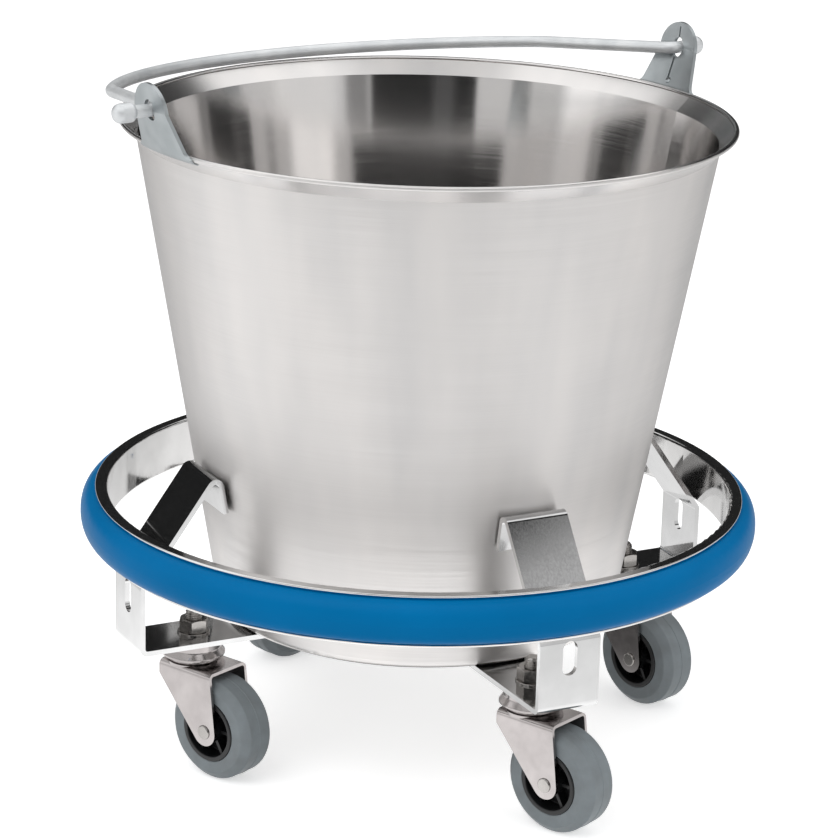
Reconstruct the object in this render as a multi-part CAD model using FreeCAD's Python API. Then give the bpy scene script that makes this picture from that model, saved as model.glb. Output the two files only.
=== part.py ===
import FreeCAD, Part
import math
import os

# Kick bucket: a tapered steel pail with a wire bail, standing in a round bumper carriage on four
# swivel casters. Units are millimetres. +Z is up. The origin is on the floor, under the middle of
# the carriage. The brackets and casters stand on the X and Y axes.

os.makedirs("parts", exist_ok=True)
Vec = FreeCAD.Vector

# ---------------------------------------------------------------- driving dimensions
# Clearances
lay_gap = 0.1            # between two fixed pieces that lie against each other
rest_gap = 0.3           # between a loose piece and what it rests on or leans against
running_gap = 0.05       # radial, round a shaft
thread_gap = 0.05        # radial, between a screw thread's solid and its nut
nearly = 0.999           # share of the largest rounding that two neighbouring corners can take

# Pail
pail_base_radius = 99.0
pail_height = 247.3          # underside to the top of the lip
pail_crease_radius = 140.8
pail_flare = 8.4             # crease to the outside of the lip, outwards
pail_flare_height = 8.9      # crease to the top of the lip
pail_sheet = 1.0
pail_corner_radius = 5.0     # outside, round the base
lip_bead_radius = 1.25

# Ears and bail
ear_azimuth = 9.0            # degrees, the first ear; the second stands opposite
ear_sheet = 1.8
ear_hole_above_lip = 18.9
ear_hole_past_lip = 7.6      # lip to the middle of the sheet at the hole, outwards
ear_top_past_lip = 8.8
ear_tip_radius = 13.2
ear_tip_above_hole = 12.6
ear_neck_half = 18.4
ear_base_half = 21.5
ear_fillet_radius = 5.0
ear_bend_radius = 5.0
ear_hole_width = 7.0
ear_hole_height = 10.0
ear_foot_edge = 0.35         # sheet left at the ground-down foot of the ear
ear_foot_cover = 0.8         # sheet left under the lip's bead
ear_foot_lap = 0.3           # share of the flare that the foot of the ear covers
ear_dimple_below_hole = 16.0
ear_dimple_radius = 2.0
ear_dimple_depth = 1.1
ear_groove_width = 2.4
ear_groove_depth = 0.6
ear_crease_above_hole = 10.5
ear_crease_width = 0.8
bail_wire_radius = 3.0
bail_arm_inset = 5.1         # arm's line, inside the middle of the ear
bail_arm_lean = 15.0         # degrees, towards the middle of the arc
bail_reach_past_lip = 0.2    # the far side of the arc, past the lip
bail_arc_past_lip = 7.2      # radius of the arc, more than the lip's
bail_shoulder_radius = 30.0
bail_pivot_bend = 4.6
bail_right_end_reach = 13.9  # past the middle of the ear
bail_left_end_reach = 19.5   # the wire's longer end
bail_knob_radius = 4.6
bail_knob_length = 11.5
bail_knob_share = 0.8        # rounding of the knob's end, as a share of its radius
bail_neck_share = 0.8        # the wire's radius where the knob begins, as a share of the wire's
bail_knob_round = 2.0

# Hoop and bumper
hoop_inner_radius = 154.6
hoop_sheet = 1.5
hoop_height = 25.3
hoop_flange_depth = 6.2      # inner face to the flange's outer edge
hoop_above_foot = 38.3       # underside of the bracket's foot to the lower flange
bumper_bulge = 7.2           # past the flanges' edge
bumper_shoulder = 0.75       # share of the bulge that the shoulders keep
bumper_crown = 0.55          # share of the height over which the crown is rounded
bumper_seam = 0.5            # open seam between the bulge and each flange
hoop_edge_share = 0.45       # rounding of the flanges' edges, as a share of the sheet

# Brackets
bracket_width = 32.0
bracket_sheet = 2.5
bracket_foot_length = 86.0
bracket_foot_corner = 5.0
bracket_leg_past_hoop = 1.4  # outer face of the leg, past the hoop's inner face
bracket_foot_bend = 1.2      # inside radius of the bend under the leg
bracket_arm_bend = 1.6       # inside radius of the bend under the hoop
bracket_arm_slope = 54.0     # degrees above level
bracket_hook_bend = 3.2      # middle of the sheet
bracket_tail_drop = 21.4     # the hook's corner to the tip of its tail
leg_slot_width = 7.6
leg_slot_length = 17.0
leg_slot_above_foot = 18.0

# Casters
stem_inside_leg = 34.4       # outer face of the leg to the swivel axis
trail = 19.3                 # swivel axis to wheel axis
wheel_radius = 25.5
tyre_half_width = 10.4
tyre_shoulder = 3.7          # bevel between the tyre's side and its tread
tyre_shoulder_round = 1.2
tyre_mould_line = 0.2
hub_rim_radius = 15.5
hub_rim_lip = 2.4
hub_half_width = 10.9
hub_tongue_radius = 17.6
hub_tongue_half = 4.5
hub_web_half = 2.0
hub_boss_radius = 6.2
hub_rib_count = 6
hub_rib_sheet = 1.6
hub_rib_inset = 3.6
axle_radius = 2.5
axle_head_radius = 3.6
axle_head_height = 0.8
sleeve_sheet = 1.5
fork_sheet = 1.5
fork_half_width = 13.2
fork_bend_radius = 3.0
fork_back = 10.4             # swivel axis to the crown's back edge
fork_front = 22.5            # swivel axis to the crown's front edge
fork_crown_above_axle = 30.5
fork_back_drop = 7.0
fork_tip_radius = 7.0
dome_height = 5.2
dome_radius = 11.6
dome_top_sheet = 2.0
dome_wall = 2.0
swivel_head_height = 10.6    # crown to the underside of the bracket's foot
ball_radius = 2.0
ball_circle_radius = 9.5
ball_count = 12
ball_gap = 0.1
race_sheet = 1.6
race_boss_radius = 13.5
race_rim_radius = 15.5
race_rim_above_crown = 2.9
stud_radius = 4.0
stud_head_radius = 8.0
stud_head_height = 2.2
stud_end_past_nut = 5.0
nut_across_flats = 13.0
nut_height = 6.5
washer_radius = 8.0
washer_sheet = 1.0
washer_round = 0.3
dome_root_width = 1.5
dome_root_round = 1.0
dome_top_round = 1.2
race_shoulder_round = 1.0
race_lip_round = 0.5
race_inner_round = 0.6
stud_head_round = 0.8
stud_end_round = 1.6
nut_chamfer_angle = 30.0
hub_edge_round = 0.6
hub_web_round = 0.8
hub_boss_round = 0.5
hub_rib_bite = 1.0           # how far a rib runs into the boss and the rim
tyre_bead_round = 0.4
axle_head_share = 0.8        # rounding of the rivet's heads, as a share of their height

# Where each caster stands and which way its wheel trails, degrees round from +X
caster_places = {
    "rear_right": (0.0, -74.1),
    "rear_left": (90.0, -162.6),
    "front_left": (180.0, -66.2),
    "front_right": (270.0, -66.6),
}

# ---------------------------------------------------------------- places and mating sizes
axle_z = wheel_radius
crown_z = axle_z + fork_crown_above_axle
foot_z = crown_z + swivel_head_height
foot_top_z = foot_z + bracket_sheet
pail_z = foot_top_z + rest_gap
pail_wall_height = pail_height - pail_flare_height
crease_z = pail_z + pail_wall_height
lip_z = pail_z + pail_height
hoop_z = foot_z + hoop_above_foot
hoop_top_z = hoop_z + hoop_height
hoop_edge_radius = hoop_inner_radius + hoop_flange_depth
bumper_radius = hoop_edge_radius + bumper_bulge
pivot_z = lip_z + ear_hole_above_lip
pail_lip_radius = pail_crease_radius + pail_flare
ear_hole_radius_out = pail_lip_radius + ear_hole_past_lip
ear_top_radius_out = pail_lip_radius + ear_top_past_lip
bail_reach = pail_lip_radius + bail_reach_past_lip
bail_arc_radius = pail_lip_radius + bail_arc_past_lip
bracket_leg_radius = hoop_inner_radius + bracket_leg_past_hoop
bracket_foot_inner_radius = bracket_leg_radius - bracket_foot_length
stem_circle_radius = bracket_leg_radius - stem_inside_leg
wall_slope = (pail_crease_radius - pail_base_radius) / pail_wall_height
wall_angle = math.atan(wall_slope)


def wall_radius(z):
    """Outside radius of the pail's tapered wall at a height."""
    return pail_base_radius + (z - pail_z) * wall_slope


# ---------------------------------------------------------------- shape helpers
def save(node, shape):
    """Write one node's solid or solids."""
    shape.exportStep("parts/" + node + ".step")


def point(x, z):
    """A point of a drawing in the XZ plane."""
    return Vec(x, 0.0, z)


def round_corner(here, before, after, radius):
    """Start, middle and end of the arc that rounds a corner between two neighbours."""
    to_before = before - here
    to_after = after - here
    to_before.normalize()
    to_after.normalize()
    half = to_before.getAngle(to_after) / 2
    middle = to_before + to_after
    middle.normalize()
    run = radius / math.tan(half)
    centre = here + middle * (radius / math.sin(half))
    return here + to_before * run, centre - middle * radius, here + to_after * run


def rounded_face(corners):
    """Face in the XZ plane from corners (x, z, radius), each rounded by its radius."""
    stretches = []
    for i, (x, z, radius) in enumerate(corners):
        here = point(x, z)
        if radius <= 0:
            stretches.append((here, None, here))
            continue
        before = point(*corners[i - 1][:2])
        after = point(*corners[(i + 1) % len(corners)][:2])
        stretches.append(round_corner(here, before, after, radius))
    edges = []
    for i, (start, middle, end) in enumerate(stretches):
        if middle is not None:
            edges.append(Part.Arc(start, middle, end).toShape())
        following = stretches[(i + 1) % len(stretches)][0]
        if end.distanceToPoint(following) > 1e-6:
            edges.append(Part.LineSegment(end, following).toShape())
    return Part.Face(Part.Wire(edges))


def revolved(corners):
    """Solid of revolution about Z from corners (radius, z, corner radius)."""
    return rounded_face(corners).revolve(Vec(0, 0, 0), Vec(0, 0, 1), 360)


def plate(corners, half_width):
    """Drawing in the XZ plane, thickened by half_width to both sides along Y."""
    face = rounded_face(corners)
    face.translate(Vec(0, -half_width, 0))
    return face.extrude(Vec(0, 2 * half_width, 0))


def turned(shape, azimuth):
    """Copy of a shape, turned about Z."""
    copy = shape.copy()
    copy.rotate(Vec(0, 0, 0), Vec(0, 0, 1), azimuth)
    return copy


def upright(radius, low, high):
    """Cylinder on the Z axis between two heights."""
    return Part.makeCylinder(radius, high - low, Vec(0, 0, low))


def offset_path(path, distance):
    """Corners of a path (x, z, bend radius), moved to its left by distance."""
    moved = []
    last = len(path) - 1
    for i in range(len(path)):
        here = point(*path[i][:2])
        into = here - point(*path[max(i - 1, 0)][:2]) if i > 0 else point(*path[1][:2]) - here
        out = point(*path[i + 1][:2]) - here if i < last else into
        into.normalize()
        out.normalize()
        left_in = Vec(-into.z, 0, into.x)
        left_out = Vec(-out.z, 0, out.x)
        across = left_in + left_out
        across.normalize()
        place = here + across * (distance / across.dot(left_in))
        turn = into.x * out.z - into.z * out.x
        bend = path[i][2]
        if bend > 0:
            bend = bend - math.copysign(1.0, turn) * distance
        moved.append((place.x, place.z, bend))
    return moved


def bent_strip(path, sheet, half_width):
    """Flat strip bent along a path of (x, z, bend radius at the middle of the sheet)."""
    left = offset_path(path, sheet / 2)
    right = offset_path(path, -sheet / 2)
    return plate(left + right[::-1], half_width)


def slot_tool(width, height, low, high):
    """Round-ended upright slot cutter about the X axis, from x = low to x = high."""
    half = width / 2
    reach = height / 2
    corners = []
    for x, z in ((-half, -reach), (half, -reach), (half, reach), (-half, reach)):
        corners.append((x, z, half * nearly))
    tool = plate(corners, (high - low) / 2)
    tool.rotate(Vec(0, 0, 0), Vec(0, 0, 1), 90)
    tool.translate(Vec((low + high) / 2, 0, 0))
    return tool


# ---------------------------------------------------------------- pail
def flare():
    """Direction of the flared rim, the middle of its bead, and the crease under it."""
    crease = point(pail_crease_radius, crease_z)
    bead = point(pail_lip_radius - lip_bead_radius, lip_z - lip_bead_radius)
    along = bead - crease
    lean = math.asin(pail_sheet / 2 / along.Length)
    angle = math.atan2(along.z, along.x) - lean
    return angle, bead, crease


def pail():
    angle, bead, crease = flare()
    spread = math.asin(pail_sheet / 2 / lip_bead_radius)
    under = angle + math.pi + spread
    above = angle + math.pi - spread
    bead_under = bead + point(math.cos(under), math.sin(under)) * lip_bead_radius
    bead_above = bead + point(math.cos(above), math.sin(above)) * lip_bead_radius
    bead_far = bead + point(math.cos(angle), math.sin(angle)) * lip_bead_radius
    inset = pail_sheet / math.cos(wall_angle)
    # inner crease: where the inner wall meets the upper face of the flare
    along = point(math.cos(angle), math.sin(angle))
    wall = point(math.sin(wall_angle), math.cos(wall_angle))
    inner = point(pail_crease_radius - inset, crease_z)
    gap = bead_above - inner
    run = (gap.x * along.z - gap.z * along.x) / (wall.x * along.z - wall.z * along.x)
    inner_crease = inner + wall * run
    floor_z = pail_z + pail_sheet
    inner_corner = pail_corner_radius - pail_sheet
    base_inner = wall_radius(floor_z) - inset

    outer = round_corner(point(pail_base_radius, pail_z), point(0, pail_z), crease, pail_corner_radius)
    inside = round_corner(point(base_inner, floor_z), inner_crease, point(0, floor_z), inner_corner)
    edges = [
        Part.LineSegment(point(0, pail_z), outer[0]).toShape(),
        Part.Arc(*outer).toShape(),
        Part.LineSegment(outer[2], crease).toShape(),
        Part.LineSegment(crease, bead_under).toShape(),
        Part.Arc(bead_under, bead_far, bead_above).toShape(),
        Part.LineSegment(bead_above, inner_crease).toShape(),
        Part.LineSegment(inner_crease, inside[0]).toShape(),
        Part.Arc(*inside).toShape(),
        Part.LineSegment(inside[2], point(0, floor_z)).toShape(),
        Part.LineSegment(point(0, floor_z), point(0, pail_z)).toShape(),
    ]
    section = Part.Face(Part.Wire(edges))
    return section.revolve(Vec(0, 0, 0), Vec(0, 0, 1), 360)


# ---------------------------------------------------------------- ears and bail
def ear():
    """Ear plate on the +X side: its foot laps the flare, its head leans outwards."""
    angle, bead, crease = flare()
    along = point(math.cos(angle), math.sin(angle))
    down = point(math.sin(angle), -math.cos(angle))
    flare_run = (bead - crease).Length
    foot = crease + along * (flare_run * (1 - ear_foot_lap)) + down * lay_gap
    shoulder = crease + along * (flare_run - 2 * lip_bead_radius) + down * lay_gap
    below_bead = bead + down * (lip_bead_radius + lay_gap) - along * lip_bead_radius
    upright_r = pail_lip_radius + lay_gap
    corner_run = (upright_r - below_bead.x) / along.x
    below_corner = below_bead + along * corner_run
    tip_z = pivot_z + ear_tip_above_hole
    half = ear_sheet / 2
    inner_side = [
        (foot.x, foot.z, 0),
        (shoulder.x, shoulder.z, 0),
        (below_bead.x, below_bead.z, 0),
        (below_corner.x, below_corner.z, 0),
        (upright_r, lip_z, 0),
        (ear_hole_radius_out - half, pivot_z, 0),
        (ear_top_radius_out - half, tip_z, 0),
    ]
    lean = point(ear_hole_radius_out - half, pivot_z) - point(upright_r, lip_z)
    lean.normalize()
    outward = Vec(lean.z, 0, -lean.x)
    foot_outer = foot + down * ear_foot_edge
    # the outer bend, where the leaning face meets the ground-down foot under the bead
    under_bead = bead + down * (lip_bead_radius + lay_gap + ear_foot_cover)
    foot_line = under_bead - foot_outer
    gap = point(upright_r, lip_z) + outward * ear_sheet - foot_outer
    run = (gap.x * lean.z - gap.z * lean.x) / (foot_line.x * lean.z - foot_line.z * lean.x)
    knee = foot_outer + foot_line * run
    outer_side = [
        (ear_top_radius_out + half, tip_z, 0),
        (ear_hole_radius_out + half, pivot_z, 0),
        (knee.x, knee.z, ear_bend_radius),
        (foot_outer.x, foot_outer.z, 0),
    ]
    face = rounded_face(inner_side + outer_side)
    sweep = 2 * math.degrees(math.asin(ear_base_half / pail_crease_radius))
    face.rotate(Vec(0, 0, 0), Vec(0, 0, 1), -sweep / 2)
    sheet = face.revolve(Vec(0, 0, 0), Vec(0, 0, 1), sweep)
    # outline seen along the ear's hole: a round head on a neck that flares into the lip
    top_z = pivot_z + ear_tip_above_hole
    head_z = top_z - ear_tip_radius
    low_z = foot.z - ear_sheet
    blunt = ear_tip_radius * nearly
    outline = [
        (-ear_base_half, low_z, 0),
        (ear_base_half, low_z, 0),
        (ear_base_half, lip_z - lip_bead_radius, 0),
        (ear_neck_half, lip_z, ear_fillet_radius),
        (ear_tip_radius, head_z, 0),
        (ear_tip_radius, top_z, blunt),
        (-ear_tip_radius, top_z, blunt),
        (-ear_tip_radius, head_z, 0),
        (-ear_neck_half, lip_z, ear_fillet_radius),
        (-ear_base_half, lip_z - lip_bead_radius, 0),
    ]
    reach = ear_hole_above_lip + ear_tip_above_hole
    tool = plate(outline, reach)
    tool.rotate(Vec(0, 0, 0), Vec(0, 0, 1), 90)
    tool.translate(Vec(ear_hole_radius_out, 0, 0))
    body = sheet.common(tool)
    hole = slot_tool(ear_hole_width, ear_hole_height, -reach, reach)
    hole.translate(Vec(ear_hole_radius_out, 0, pivot_z))
    body = body.cut(hole)
    # pressed on the inner face: a groove from the hole down to a round dimple, and a fine crease up
    face_r = ear_hole_radius_out - half
    dimple_z = pivot_z - ear_dimple_below_hole
    dimple_r = face_r - ear_dimple_below_hole * lean.x / lean.z
    crease_z = pivot_z + ear_crease_above_hole
    head_lean = (ear_top_radius_out - ear_hole_radius_out) / ear_tip_above_hole
    crease_r = face_r + ear_crease_above_hole * head_lean
    presses = ((dimple_r, dimple_z, ear_groove_width), (crease_r, crease_z, ear_crease_width))
    for end_r, end_z, width in presses:
        groove = [
            (end_r - ear_sheet, end_z, 0),
            (end_r + ear_groove_depth, end_z, 0),
            (face_r + ear_groove_depth, pivot_z, 0),
            (face_r - ear_sheet, pivot_z, 0),
        ]
        body = body.cut(plate(groove, width / 2))
    centre_r = dimple_r + ear_dimple_depth - ear_dimple_radius
    return body.cut(Part.makeSphere(ear_dimple_radius, Vec(centre_r, 0, dimple_z)))


def bail():
    """Wire bail lying back on the lip, drawn in its own plane and then laid down.

    Its left end reaches further past the ear than its right end.
    """
    arm_u = ear_hole_radius_out - bail_arm_inset
    lean = math.radians(bail_arm_lean)
    arm = Vec(-math.sin(lean), math.cos(lean), 0)
    inward = Vec(-math.cos(lean), -math.sin(lean), 0)
    start = Vec(arm_u, 0, 0)
    arc_centre = Vec(0, bail_reach - bail_arc_radius, 0)
    # shoulder: tangent to the arm's line and, inside, to the big arc
    base = start + inward * bail_shoulder_radius - arc_centre
    reach = bail_arc_radius - bail_shoulder_radius
    along = base.dot(arm)
    run = -along + math.sqrt(along * along - base.dot(base) + reach * reach)
    shoulder = start + inward * bail_shoulder_radius + arm * run
    arm_end = start + arm * run
    toward = shoulder - arc_centre
    toward.normalize()
    arc_start = arc_centre + toward * bail_arc_radius
    mid_dir = (arm_end - shoulder) + (arc_start - shoulder)
    mid_dir.normalize()
    shoulder_mid = shoulder + mid_dir * bail_shoulder_radius
    # pivot bend between the end rod and the arm
    turn_half = (math.pi / 2 + lean) / 2
    bend_run = bail_pivot_bend / math.tan(turn_half)
    rod_end = start + Vec(bend_run, 0, 0)
    arm_start = start + arm * bend_run
    centre_dir = Vec(1, 0, 0) + arm
    centre_dir.normalize()
    bend_centre = start + centre_dir * (bail_pivot_bend / math.sin(turn_half))
    bend_mid = bend_centre - centre_dir * bail_pivot_bend

    def mirrored(v):
        return Vec(-v.x, v.y, v.z)

    right_tip = ear_hole_radius_out + bail_right_end_reach
    left_tip = ear_hole_radius_out + bail_left_end_reach
    bends = [rod_end, bend_mid, arm_start, arm_end, shoulder_mid, arc_start]
    right = [Vec(right_tip - bail_knob_length / 2, 0, 0)] + bends
    left = [Vec(bail_knob_length / 2 - left_tip, 0, 0)] + [mirrored(v) for v in bends]
    edges = [
        Part.LineSegment(right[0], right[1]).toShape(),
        Part.Arc(right[1], right[2], right[3]).toShape(),
        Part.LineSegment(right[3], right[4]).toShape(),
        Part.Arc(right[4], right[5], right[6]).toShape(),
        Part.Arc(right[6], Vec(0, bail_reach, 0), left[6]).toShape(),
        Part.Arc(left[6], left[5], left[4]).toShape(),
        Part.LineSegment(left[4], left[3]).toShape(),
        Part.Arc(left[3], left[2], left[1]).toShape(),
        Part.LineSegment(left[1], left[0]).toShape(),
    ]
    path = Part.Wire(edges)
    ring = Part.Wire(Part.makeCircle(bail_wire_radius, right[0], Vec(1, 0, 0)))
    wire = path.makePipeShell([ring], True, True)
    neck_radius = bail_wire_radius * bail_neck_share
    neck_run = bail_knob_radius - neck_radius
    knob = revolved([
        (0, 0, 0),
        (neck_radius, 0, 0),
        (bail_knob_radius, neck_run, bail_knob_round),
        (bail_knob_radius, bail_knob_length, bail_knob_radius * bail_knob_share),
        (0, bail_knob_length, 0),
    ])
    knob.rotate(Vec(0, 0, 0), Vec(0, 1, 0), 90)
    shape = wire
    for azimuth, tip in ((0, right_tip), (180, left_tip)):
        end = knob.copy()
        end.translate(Vec(tip - bail_knob_length, 0, 0))
        shape = shape.fuse(turned(end, azimuth))
    shape = shape.removeSplitter()
    shape.rotate(Vec(0, 0, 0), Vec(1, 0, 0), -bail_droop())
    shape.translate(Vec(0, 0, pivot_z))
    return turned(shape, ear_azimuth)


def bail_droop():
    """Angle below level, in degrees, at which the bail's far side lies on the lip."""
    fall = ear_hole_above_lip - bail_wire_radius - rest_gap
    return math.degrees(math.asin(fall / bail_reach))


# ---------------------------------------------------------------- hoop and bumper
def hoop():
    """Channel rolled into a ring, open outwards."""
    inner = hoop_inner_radius
    web = inner + hoop_sheet
    edge_round = hoop_sheet * hoop_edge_share
    return revolved([
        (inner, hoop_z, hoop_sheet),
        (hoop_edge_radius, hoop_z, edge_round),
        (hoop_edge_radius, hoop_z + hoop_sheet, edge_round),
        (web, hoop_z + hoop_sheet, 0),
        (web, hoop_top_z - hoop_sheet, 0),
        (hoop_edge_radius, hoop_top_z - hoop_sheet, edge_round),
        (hoop_edge_radius, hoop_top_z, edge_round),
        (inner, hoop_top_z, hoop_sheet),
    ])


def bumper():
    """D-section bumper strip held between the hoop's flanges."""
    low = hoop_z + hoop_sheet + lay_gap
    high = hoop_top_z - hoop_sheet - lay_gap
    middle = (low + high) / 2
    inner = hoop_inner_radius + hoop_sheet + lay_gap
    edge = hoop_edge_radius - hoop_sheet / 2
    shoulder_r = edge + bumper_bulge * bumper_shoulder
    crown_half = (high - low) / 2 * bumper_crown
    crown = point(bumper_radius, middle)
    below = point(bumper_radius, middle - crown_half)
    above = point(bumper_radius, middle + crown_half)
    lower = Part.BezierCurve()
    seam_low = low + bumper_seam
    seam_high = high - bumper_seam
    lower.setPoles([point(edge, seam_low), point(shoulder_r, seam_low), below, crown])
    upper = Part.BezierCurve()
    upper.setPoles([crown, above, point(shoulder_r, seam_high), point(edge, seam_high)])
    edges = [
        Part.LineSegment(point(inner, low), point(edge, low)).toShape(),
        Part.LineSegment(point(edge, low), point(edge, seam_low)).toShape(),
        lower.toShape(),
        upper.toShape(),
        Part.LineSegment(point(edge, seam_high), point(edge, high)).toShape(),
        Part.LineSegment(point(edge, high), point(inner, high)).toShape(),
        Part.LineSegment(point(inner, high), point(inner, low)).toShape(),
    ]
    section = Part.Face(Part.Wire(edges))
    return section.revolve(Vec(0, 0, 0), Vec(0, 0, 1), 360)


# ---------------------------------------------------------------- brackets
def bracket():
    """Bent strip on the +X side: foot under the pail, leg, sloping arm and hook."""
    half = bracket_width / 2
    sheet = bracket_sheet
    leg_r = bracket_leg_radius - sheet / 2
    foot_mid = foot_z + sheet / 2
    slope = math.radians(bracket_arm_slope)
    arm_dir = point(-math.cos(slope), math.sin(slope))
    # the arm's upper face just clears the hoop's lower inner edge, where the strip is widest
    edge = point(math.sqrt(hoop_inner_radius ** 2 - half ** 2), hoop_z)
    under = edge - point(math.sin(slope), math.cos(slope)) * (lay_gap + sheet / 2)
    arm_start = under - arm_dir * ((leg_r - under.x) / math.cos(slope))
    # the tail lies along the pail's wall
    tail_off = (rest_gap + sheet / 2) / math.cos(wall_angle)
    wall_foot = point(wall_radius(arm_start.z) + tail_off, arm_start.z)
    wall_dir = point(math.sin(wall_angle), math.cos(wall_angle))
    gap = wall_foot - arm_start
    run = (gap.x * wall_dir.z - gap.z * wall_dir.x) / (arm_dir.x * wall_dir.z - arm_dir.z * wall_dir.x)
    hook = arm_start + arm_dir * run
    tip_z = hook.z - bracket_tail_drop
    path = [
        (bracket_foot_inner_radius, foot_mid, 0),
        (leg_r, foot_mid, bracket_foot_bend + sheet / 2),
        (arm_start.x, arm_start.z, bracket_arm_bend + sheet / 2),
        (hook.x, hook.z, bracket_hook_bend),
        (wall_radius(tip_z) + tail_off, tip_z, 0),
    ]
    shape = bent_strip(path, sheet, half)
    # rounded corners at the foot's inner end
    corner = bracket_foot_corner
    for side in (-1, 1):
        block = Part.makeBox(corner, corner, 4 * sheet)
        block.translate(Vec(bracket_foot_inner_radius, -corner / 2, foot_z - sheet))
        block.translate(Vec(0, side * (half - corner / 2), 0))
        keep = Part.makeCylinder(corner, 4 * sheet)
        keep.translate(Vec(bracket_foot_inner_radius + corner, side * (half - corner), foot_z - sheet))
        shape = shape.cut(block.cut(keep))
    slot_z = foot_z + leg_slot_above_foot + leg_slot_length / 2
    slot = slot_tool(leg_slot_width, leg_slot_length, leg_r - 3 * sheet, leg_r + 3 * sheet)
    slot.translate(Vec(0, 0, slot_z))
    shape = shape.cut(slot)
    bore = upright(stud_radius + lay_gap, foot_z - sheet, foot_top_z + sheet)
    bore.translate(Vec(stem_circle_radius, 0, 0))
    return shape.cut(bore)


# ---------------------------------------------------------------- caster pieces
# Each is drawn with the swivel axis on Z and the wheel trailing towards +X.
fork_inner = fork_half_width - fork_sheet
dome_z = crown_z + dome_height
ball_z = (dome_z + foot_z - race_sheet) / 2
sleeve_radius = axle_radius + running_gap + sleeve_sheet


def fork():
    """Pressed fork: crown with a bearing dome, and two legs that taper to the axle."""
    low = axle_z - fork_tip_radius
    length = fork_back + trail + fork_tip_radius
    channel = rounded_face([
        (-fork_half_width, low, 0),
        (-fork_inner, low, 0),
        (-fork_inner, crown_z - fork_sheet, fork_bend_radius - fork_sheet),
        (fork_inner, crown_z - fork_sheet, fork_bend_radius - fork_sheet),
        (fork_inner, low, 0),
        (fork_half_width, low, 0),
        (fork_half_width, crown_z, fork_bend_radius),
        (-fork_half_width, crown_z, fork_bend_radius),
    ])
    channel.rotate(Vec(0, 0, 0), Vec(0, 0, 1), 90)
    channel.translate(Vec(-fork_back, 0, 0))
    channel = channel.extrude(Vec(length, 0, 0))

    def tangent(start, side):
        to_axle = point(trail, axle_z) - start
        span = to_axle.Length
        swing = math.asin(fork_tip_radius / span) * side
        heading = math.atan2(to_axle.z, to_axle.x) + swing
        reach = math.sqrt(span * span - fork_tip_radius ** 2)
        return start + point(math.cos(heading), math.sin(heading)) * reach

    back_top = point(-fork_back, crown_z)
    back = point(-fork_back, crown_z - fork_back_drop)
    front_top = point(fork_front, crown_z)
    back_touch = tangent(back, -1)
    front_touch = tangent(front_top, 1)
    tip_low = point(trail, axle_z - fork_tip_radius)
    edges = [
        Part.LineSegment(back_top, back).toShape(),
        Part.LineSegment(back, back_touch).toShape(),
        Part.Arc(back_touch, tip_low, front_touch).toShape(),
        Part.LineSegment(front_touch, front_top).toShape(),
        Part.LineSegment(front_top, back_top).toShape(),
    ]
    side = Part.Face(Part.Wire(edges))
    side.translate(Vec(0, -2 * fork_half_width, 0))
    shape = channel.common(side.extrude(Vec(0, 4 * fork_half_width, 0)))
    # bearing dome on the crown, hollow below, with its ball groove on top
    root = dome_radius + dome_root_width
    dome = revolved([
        (0, crown_z - fork_sheet, 0),
        (root, crown_z - fork_sheet, 0),
        (root, crown_z, 0),
        (dome_radius, crown_z, dome_root_round),
        (dome_radius, dome_z, dome_top_round),
        (0, dome_z, 0),
    ])
    hollow_radius = dome_radius - dome_wall
    hollow = upright(hollow_radius, crown_z - 2 * fork_sheet, dome_z - dome_top_sheet)
    groove = Part.makeTorus(ball_circle_radius, ball_radius + ball_gap, Vec(0, 0, ball_z))
    bore = upright(stud_radius + running_gap, crown_z - 2 * fork_sheet, dome_z + dome_height)
    shape = shape.fuse(dome)
    shape = shape.cut(hollow)
    shape = shape.cut(groove)
    shape = shape.cut(bore)
    axle_bore = Part.makeCylinder(axle_radius + lay_gap, 4 * fork_half_width)
    axle_bore.rotate(Vec(0, 0, 0), Vec(1, 0, 0), 90)
    axle_bore.translate(Vec(trail, 2 * fork_half_width, axle_z))
    return shape.cut(axle_bore)


def race():
    """Fixed upper race: an inverted dish over the balls, against the bracket's foot."""
    rim_z = crown_z + race_rim_above_crown
    top = foot_z
    under = foot_z - race_sheet
    skirt = race_rim_radius - race_boss_radius
    shape = revolved([
        (stud_radius + running_gap, top, 0),
        (race_boss_radius, top, race_shoulder_round),
        (race_boss_radius, rim_z + skirt + race_sheet, race_shoulder_round),
        (race_rim_radius, rim_z + race_sheet / 2, race_lip_round),
        (race_rim_radius, rim_z, 0),
        (race_rim_radius - race_sheet, rim_z, 0),
        (race_boss_radius - race_sheet, rim_z + skirt, race_shoulder_round),
        (race_boss_radius - race_sheet, under, race_inner_round),
        (stud_radius + running_gap, under, 0),
    ])
    groove = Part.makeTorus(ball_circle_radius, ball_radius + ball_gap, Vec(0, 0, ball_z))
    return shape.cut(groove)


def balls():
    """Ring of bearing balls."""
    ring = []
    for i in range(ball_count):
        angle = 2 * math.pi * i / ball_count
        centre = Vec(ball_circle_radius * math.cos(angle), ball_circle_radius * math.sin(angle), ball_z)
        ring.append(Part.makeSphere(ball_radius, centre))
    return Part.makeCompound(ring)


def stud():
    """Kingpin with its head inside the fork's dome and a screw thread above the foot."""
    head_top = dome_z - dome_top_sheet - lay_gap
    end_z = foot_top_z + washer_sheet + nut_height + stud_end_past_nut
    return revolved([
        (0, head_top - stud_head_height, 0),
        (stud_head_radius, head_top - stud_head_height, stud_head_round),
        (stud_head_radius, head_top, 0),
        (stud_radius, head_top, 0),
        (stud_radius, end_z, stud_end_round),
        (0, end_z, 0),
    ])


def washer():
    low = foot_top_z
    inner = stud_radius + 2 * lay_gap
    return revolved([
        (inner, low, 0),
        (washer_radius, low, 0),
        (washer_radius, low + washer_sheet, washer_round),
        (inner, low + washer_sheet, 0),
    ])


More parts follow.
